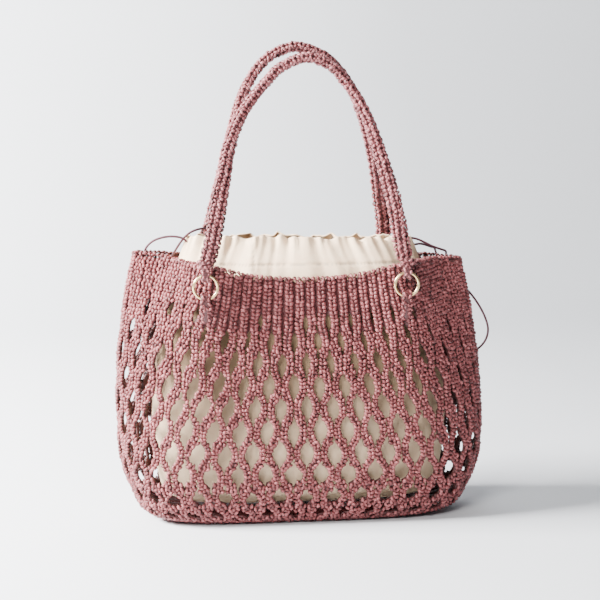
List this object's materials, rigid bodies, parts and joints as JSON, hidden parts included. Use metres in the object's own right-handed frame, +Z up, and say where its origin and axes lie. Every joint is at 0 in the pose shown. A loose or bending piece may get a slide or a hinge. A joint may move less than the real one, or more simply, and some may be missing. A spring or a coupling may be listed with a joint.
{
  "type": "crochet cord tote bag",
  "caption": "Open-net crochet cord tote with a ribbed rim, an oval base, a cotton drawstring pouch inside and rope handles on metal rings.",
  "frame": {"origin": "on the floor under the middle of the bag, which is the bottom centre of the bounding box without the drawstrings", "axes": "+X to the bag's right as seen from the front, +Y from the front to the back, +Z up"},
  "size_m": [0.3679, 0.1346, 0.4505],
  "materials": {
    "crochet_cord": "dusty pink polyester cord, worked in plaited ribs and an open diamond net",
    "handle_cord": "dusty pink polyester cord, worked flat and sewn round into a rope",
    "ring_metal": "pale gold plating, satin",
    "pouch_cotton": "plain-woven cream cotton, gathered at the mouth",
    "drawstring": "thin round mauve cord"
  },
  "bodies": {
    "root": {"base": "crochet_cord", "net_wall": "crochet_cord", "front_left_tab": "crochet_cord", "front_right_tab": "crochet_cord", "back_left_tab": "crochet_cord", "back_right_tab": "crochet_cord", "front_handle": "handle_cord", "back_handle": "handle_cord", "front_left_ring": "ring_metal", "front_right_ring": "ring_metal", "back_left_ring": "ring_metal", "back_right_ring": "ring_metal", "pouch": "pouch_cotton", "left_drawstring": "drawstring", "right_drawstring": "drawstring"}
  },
  "joints": []
}
